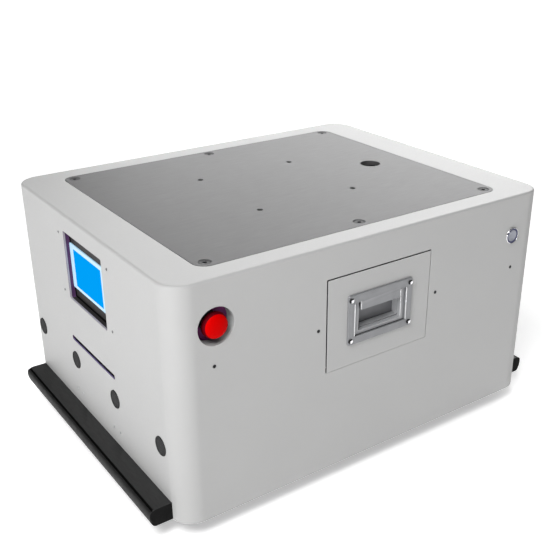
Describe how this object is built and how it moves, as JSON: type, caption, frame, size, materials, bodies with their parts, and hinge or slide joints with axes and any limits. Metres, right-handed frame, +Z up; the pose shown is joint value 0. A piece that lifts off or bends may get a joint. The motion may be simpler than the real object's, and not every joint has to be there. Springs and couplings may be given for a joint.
{
  "type": "autonomous mobile robot",
  "caption": "Box-shaped autonomous mobile robot with a flat load deck, touch display, scanner slot, battery drawer, stop button, sprung bumpers, driven wheels and casters.",
  "frame": {"origin": "on the floor under the middle of the body", "axes": "+X forward towards the display and scanner face, +Y to the robot's left (drawer and stop button), +Z up"},
  "size_m": [0.77, 0.5588, 0.4],
  "materials": {
    "cover_paint": "light grey satin powder coat, fine texture",
    "deck_steel": "dark satin steel",
    "dark_bolt": "blackened steel",
    "zinc_steel": "zinc plated steel",
    "frame_alu": "extruded aluminium",
    "base_paint": "black powder coat",
    "handle_zinc": "satin cast zinc",
    "bright_screw": "polished steel",
    "black_plastic": "matte black moulded plastic",
    "sensor_rubber": "dark grey sensor face",
    "bumper_rubber": "black extruded rubber",
    "bumper_alu": "anodised aluminium",
    "screen_glass": "lit touch screen behind a glossy pane",
    "red_plastic": "red mushroom head",
    "button_metal": "satin steel push button",
    "blue_light": "blue illuminated ring",
    "battery_case": "dark moulded case",
    "motor_steel": "black motor casing",
    "cast_alu": "cast and machined aluminium",
    "wheel_tyre": "polyurethane drive tyre",
    "caster_poly": "black nylon caster wheel",
    "lidar_case": "dark tinted scanner head",
    "electronics": "grey electronics case"
  },
  "bodies": {
    "chassis": {"base_plate": "base_paint", "frame_posts": "frame_alu", "top_rails": "frame_alu", "deck_plate": "deck_steel", "deck_bolts": "dark_bolt", "cover_shell": "cover_paint", "cover_brackets": "zinc_steel", "cover_screws": "dark_bolt", "small_screws": "zinc_steel", "display_housing": "black_plastic", "display_screen": "screen_glass", "lidar_stand": "zinc_steel", "lidar_base": "black_plastic", "sonar_bodies": "sensor_rubber", "sonar_faces": "sensor_rubber", "estop_cup": "cover_paint", "estop_base": "black_plastic", "power_bezel": "bright_screw", "power_light_ring": "blue_light", "drawer_rails_fixed": "zinc_steel", "bumper_guides": "cast_alu", "bumper_switches": "black_plastic", "bumper_springs": "zinc_steel", "drive_brackets": "zinc_steel", "arm_pivot_pins": "bright_screw", "arm_springs": "zinc_steel", "caster_plates": "zinc_steel", "equipment_shelf": "zinc_steel", "control_box": "electronics", "motor_drivers": "electronics"},
    "scanner_head": {"lidar_head": "lidar_case"},
    "estop_plunger": {"estop_stem": "black_plastic"},
    "estop_button": {"estop_head": "red_plastic"},
    "power_button": {"power_cap": "button_metal"},
    "battery_drawer": {"drawer_tray": "zinc_steel", "drawer_front": "cover_paint", "battery_pack": "battery_case", "pull_handle": "handle_zinc", "handle_screws": "bright_screw", "drawer_rails_moving": "zinc_steel"},
    "front_bumper": {"front_bumper_strip": "bumper_rubber", "front_bumper_bar": "bumper_alu"},
    "rear_bumper": {"rear_bumper_strip": "bumper_rubber", "rear_bumper_bar": "bumper_alu"},
    "swing_arm_left": {"swing_arm_left": "cast_alu", "gearmotor_left": "motor_steel"},
    "drive_wheel_left": {"drive_tyre_left": "wheel_tyre", "drive_hub_left": "cast_alu"},
    "swing_arm_right": {"swing_arm_right": "cast_alu", "gearmotor_right": "motor_steel"},
    "drive_wheel_right": {"drive_tyre_right": "wheel_tyre", "drive_hub_right": "cast_alu"},
    "caster_fork_front_left": {"caster_fork_front_left": "zinc_steel"},
    "caster_wheel_front_left": {"caster_wheel_front_left": "caster_poly"},
    "caster_fork_front_right": {"caster_fork_front_right": "zinc_steel"},
    "caster_wheel_front_right": {"caster_wheel_front_right": "caster_poly"},
    "caster_fork_rear_left": {"caster_fork_rear_left": "zinc_steel"},
    "caster_wheel_rear_left": {"caster_wheel_rear_left": "caster_poly"},
    "caster_fork_rear_right": {"caster_fork_rear_right": "zinc_steel"},
    "caster_wheel_rear_right": {"caster_wheel_rear_right": "caster_poly"}
  },
  "joints": [
    {"name": "suspension_left", "type": "hinge", "parent": "chassis", "child": "swing_arm_left", "pos_m": [0.112, 0.191, 0.106], "axis": [0, 1, 0], "range_deg": [-3, 3], "stiffness_Nm_per_rad": 200, "springref_deg": -6.42, "deforming": ["arm_springs"]},
    {"name": "drive_wheel_spin_left", "type": "hinge", "parent": "swing_arm_left", "child": "drive_wheel_left", "pos_m": [0, 0.225, 0.075], "axis": [0, 1, 0], "continuous": true},
    {"name": "suspension_right", "type": "hinge", "parent": "chassis", "child": "swing_arm_right", "pos_m": [0.112, -0.191, 0.106], "axis": [0, 1, 0], "range_deg": [-3, 3], "stiffness_Nm_per_rad": 200, "springref_deg": -6.42, "deforming": ["arm_springs"]},
    {"name": "drive_wheel_spin_right", "type": "hinge", "parent": "swing_arm_right", "child": "drive_wheel_right", "pos_m": [0, -0.225, 0.075], "axis": [0, 1, 0], "continuous": true},
    {"name": "caster_swivel_front_left", "type": "hinge", "parent": "chassis", "child": "caster_fork_front_left", "pos_m": [0.25, 0.185, 0.06], "axis": [0, 0, 1], "continuous": true},
    {"name": "caster_roll_front_left", "type": "hinge", "parent": "caster_fork_front_left", "child": "caster_wheel_front_left", "pos_m": [0.232, 0.185, 0.025], "axis": [0, 1, 0], "continuous": true},
    {"name": "caster_swivel_front_right", "type": "hinge", "parent": "chassis", "child": "caster_fork_front_right", "pos_m": [0.25, -0.185, 0.06], "axis": [0, 0, 1], "continuous": true},
    {"name": "caster_roll_front_right", "type": "hinge", "parent": "caster_fork_front_right", "child": "caster_wheel_front_right", "pos_m": [0.232, -0.185, 0.025], "axis": [0, 1, 0], "continuous": true},
    {"name": "caster_swivel_rear_left", "type": "hinge", "parent": "chassis", "child": "caster_fork_rear_left", "pos_m": [-0.25, 0.185, 0.06], "axis": [0, 0, 1], "continuous": true},
    {"name": "caster_roll_rear_left", "type": "hinge", "parent": "caster_fork_rear_left", "child": "caster_wheel_rear_left", "pos_m": [-0.268, 0.185, 0.025], "axis": [0, 1, 0], "continuous": true},
    {"name": "caster_swivel_rear_right", "type": "hinge", "parent": "chassis", "child": "caster_fork_rear_right", "pos_m": [-0.25, -0.185, 0.06], "axis": [0, 0, 1], "continuous": true},
    {"name": "caster_roll_rear_right", "type": "hinge", "parent": "caster_fork_rear_right", "child": "caster_wheel_rear_right", "pos_m": [-0.268, -0.185, 0.025], "axis": [0, 1, 0], "continuous": true},
    {"name": "scanner_spin", "type": "hinge", "parent": "chassis", "child": "scanner_head", "pos_m": [0.29, 0, 0.185], "axis": [0, 0, 1], "continuous": true},
    {"name": "estop_press", "type": "slide", "parent": "chassis", "child": "estop_plunger", "axis": [0, -1, 0], "range_m": [0, 0.004], "stiffness_N_per_m": 1500, "springref_m": -0.002},
    {"name": "estop_twist", "type": "hinge", "parent": "estop_plunger", "child": "estop_button", "pos_m": [0.2825, 0.27, 0.3317], "axis": [0, -1, 0], "range_deg": [0, 45], "stiffness_Nm_per_rad": 0.06, "springref_deg": -5.73},
    {"name": "power_press", "type": "slide", "parent": "chassis", "child": "power_button", "axis": [0, -1, 0], "range_m": [0, 0.0025], "stiffness_N_per_m": 1000, "springref_m": -0.001},
    {"name": "drawer_slide", "type": "slide", "parent": "chassis", "child": "battery_drawer", "axis": [0, 1, 0], "range_m": [0, 0.2]},
    {"name": "front_bumper_push", "type": "slide", "parent": "chassis", "child": "front_bumper", "axis": [-1, 0, 0], "range_m": [0, 0.006], "stiffness_N_per_m": 1500, "springref_m": -0.006, "deforming": ["bumper_springs"]},
    {"name": "rear_bumper_push", "type": "slide", "parent": "chassis", "child": "rear_bumper", "axis": [1, 0, 0], "range_m": [0, 0.006], "stiffness_N_per_m": 1500, "springref_m": -0.006, "deforming": ["bumper_springs"]}
  ]
}
